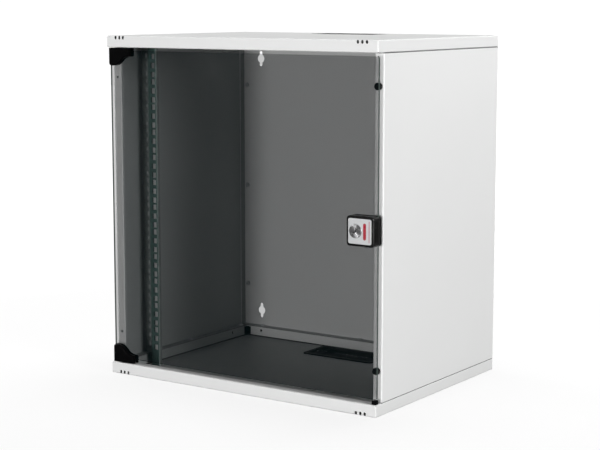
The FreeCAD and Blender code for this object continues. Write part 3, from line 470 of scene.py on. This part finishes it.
def bristle_strip(node, materials):
    """Bundles of bristles in layers, in place of the plain strips of a cable entry."""
    low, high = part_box(node)
    count = int((high[0] - low[0]) / BUNDLE_PITCH)
    middle = (low[1] + high[1]) / 2.0
    layer = (high[2] - low[2]) / BUNDLE_LAYERS
    width = BUNDLE_PITCH * BUNDLE_WIDTH
    thickness = layer * BUNDLE_HEIGHT
    start = low[0] + BUNDLE_PITCH / 2.0
    end = high[0] - BUNDLE_PITCH / 2.0
    dice = random.Random(BUNDLE_SEED)
    shape = bmesh.new()
    for side, foot_y in ((-1, low[1]), (1, high[1])):
        for level in range(BUNDLE_LAYERS):
            z = low[2] + layer * (level + 0.5)
            for step in range(count):
                x = low[0] + BUNDLE_PITCH * (step + 0.5 + BUNDLE_STAGGER * (level % 2))
                lean = dice.uniform(-BUNDLE_LEAN, BUNDLE_LEAN)
                tip_y = middle + side * (HALF_SLIT + dice.uniform(*BUNDLE_REACH))
                rise = dice.uniform(-BUNDLE_LIFT, BUNDLE_LIFT) * layer
                foot = Vector((x, foot_y, z))
                tip = Vector((x + lean, tip_y, z + rise))
                tip.x = min(max(tip.x, start), end)
                add_bundle(shape, foot, tip, width, thickness)
    piece = new_piece(node + "_bundles", shape, materials["bristle"], "cabinet")
    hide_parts(node)


def rounded_strip(x0, x1, z0, z1, front, back, radius):
    """A thin strip with round corners, between two depths."""
    outline = []
    corners = ((x1 - radius, z1 - radius), (x0 + radius, z1 - radius),
               (x0 + radius, z0 + radius), (x1 - radius, z0 + radius))
    for quarter, (cx, cz) in enumerate(corners):
        for step in range(CORNER_STEPS + 1):
            angle = math.radians(90.0 * (quarter + step / CORNER_STEPS))
            outline.append((cx + radius * math.cos(angle), cz + radius * math.sin(angle)))
    shape = bmesh.new()
    rows = [[shape.verts.new((x, y, z)) for x, z in outline] for y in (front, back)]
    closed_prism(shape, *rows)
    return shape


def badge_stripes(materials):
    """A plain red bar and a thin line down the free end of the badge."""
    low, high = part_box("lock_badge")
    height = high[2] - low[2]
    for name, inset, width, share in STRIPES:
        x1 = high[0] - inset + width / 2.0
        margin = height * (1.0 - share) / 2.0
        shape = rounded_strip(x1 - width, x1, low[2] + margin, high[2] - margin,
                              low[1] - STRIPE_PROUD, low[1], width * STRIPE_ROUND)
        new_piece(name, shape, materials["red_enamel"], "door")


# --- Stage, light and camera ----------------------------------------------------------
def background(nodes, strength):
    node = nodes.new("ShaderNodeBackground")
    node.inputs["Color"].default_value = (1.0, 1.0, 1.0, 1.0)
    node.inputs["Strength"].default_value = strength
    return node.outputs["Background"]


def mixed(nodes, links, ray, base, over):
    """The shader over for rays of one kind, and the shader base for all others."""
    path = nodes.new("ShaderNodeLightPath")
    mix = nodes.new("ShaderNodeMixShader")
    links.new(path.outputs[ray], mix.inputs["Fac"])
    links.new(base, mix.inputs[1])
    links.new(over, mix.inputs[2])
    return mix.outputs["Shader"]


def make_world():
    """White to the camera, and dim as a light and in reflections."""
    world = bpy.data.worlds.new("studio")
    bpy.context.scene.world = world
    world.use_nodes = True
    nodes = world.node_tree.nodes
    links = world.node_tree.links
    nodes.clear()
    sky = background(nodes, AMBIENT)
    sky = mixed(nodes, links, "Is Glossy Ray", sky, background(nodes, REFLECTED))
    sky = mixed(nodes, links, "Is Camera Ray", sky, background(nodes, BACKGROUND))
    out = nodes.new("ShaderNodeOutputWorld")
    links.new(sky, out.inputs["Surface"])


def floor_material():
    """Pale, with a glow to the camera that takes over far from the object."""
    floor = Surface("pale_floor", (0.50, 0.50, 0.50), 0.9)
    floor.set("Specular IOR Level", 0.1)
    glow = floor.nodes.new("ShaderNodeEmission")
    glow.inputs["Strength"].default_value = FLOOR_GLOW
    far = floor.nodes.new("ShaderNodeVectorMath")
    far.operation = "LENGTH"
    floor.link(floor.coords.outputs["Object"], far.inputs[0])
    seen = floor.nodes.new("ShaderNodeMixShader")
    share = floor.spread(far.outputs["Value"], FLOOR_SHARE, 1.0, *FLOOR_FADE)
    floor.link(share, seen.inputs["Fac"])
    floor.link(floor.shader.outputs["BSDF"], seen.inputs[1])
    floor.link(glow.outputs["Emission"], seen.inputs[2])
    dull = floor.nodes.new("ShaderNodeBsdfDiffuse")
    dull.inputs["Color"].default_value = (FLOOR_BOUNCE, FLOOR_BOUNCE, FLOOR_BOUNCE, 1.0)
    whole = mixed(floor.nodes, floor.links, "Is Camera Ray",
                  dull.outputs["BSDF"], seen.outputs["Shader"])
    floor.link(whole, floor.nodes["Material Output"].inputs["Surface"])
    return floor.material


def make_floor():
    """A floor that keeps the object's shadow and fades into the background."""
    level = CAD_BOX[0][2]
    half = FLOOR_SIZE / 2.0
    corners = [(-half, -half), (half, -half), (half, half), (-half, half)]
    mesh = bpy.data.meshes.new("floor")
    mesh.from_pydata([(x, y, level) for x, y in corners], [], [(0, 1, 2, 3)])
    mesh.materials.append(floor_material())
    floor = bpy.data.objects.new("floor", mesh)
    bpy.context.scene.collection.objects.link(floor)


def make_lamps(centre):
    """Round area lamps that all point at the middle of the object."""
    for name, offset, size, power in LAMPS:
        data = bpy.data.lights.new(name, "AREA")
        data.shape = "DISK"
        data.size = size
        data.energy = power
        lamp = bpy.data.objects.new(name, data)
        lamp.location = centre + Vector(offset)
        lamp.rotation_euler = (centre - lamp.location).to_track_quat("-Z", "Y").to_euler()
        bpy.context.scene.collection.objects.link(lamp)


def make_camera(centre):
    aim = centre - Vector((0.0, AIM_FRONT, AIM_DROP))
    yaw = math.radians(AZIMUTH)
    pitch = math.radians(ELEVATION)
    level = math.cos(pitch)
    forward = Vector((-math.sin(yaw) * level, math.cos(yaw) * level, -math.sin(pitch)))
    data = bpy.data.cameras.new("camera")
    data.lens = LENS
    data.sensor_width = SENSOR
    camera = bpy.data.objects.new("camera", data)
    camera.location = aim - forward * DISTANCE
    camera.rotation_euler = (math.pi / 2.0 - pitch, 0.0, yaw)
    bpy.context.scene.collection.objects.link(camera)
    bpy.context.scene.camera = camera


def main():
    centre = (Vector(CAD_BOX[0]) + Vector(CAD_BOX[1])) / 2.0
    materials = make_materials()
    dress_nodes(materials)
    for node in ("lower_entry_bristles", "upper_entry_bristles"):
        bristle_strip(node, materials)
    badge_stripes(materials)
    make_world()
    make_floor()
    make_lamps(centre)
    make_camera(centre)
    bpy.context.scene.view_settings.view_transform = "Standard"
    bpy.context.scene.cycles.diffuse_bounces = 1


main()
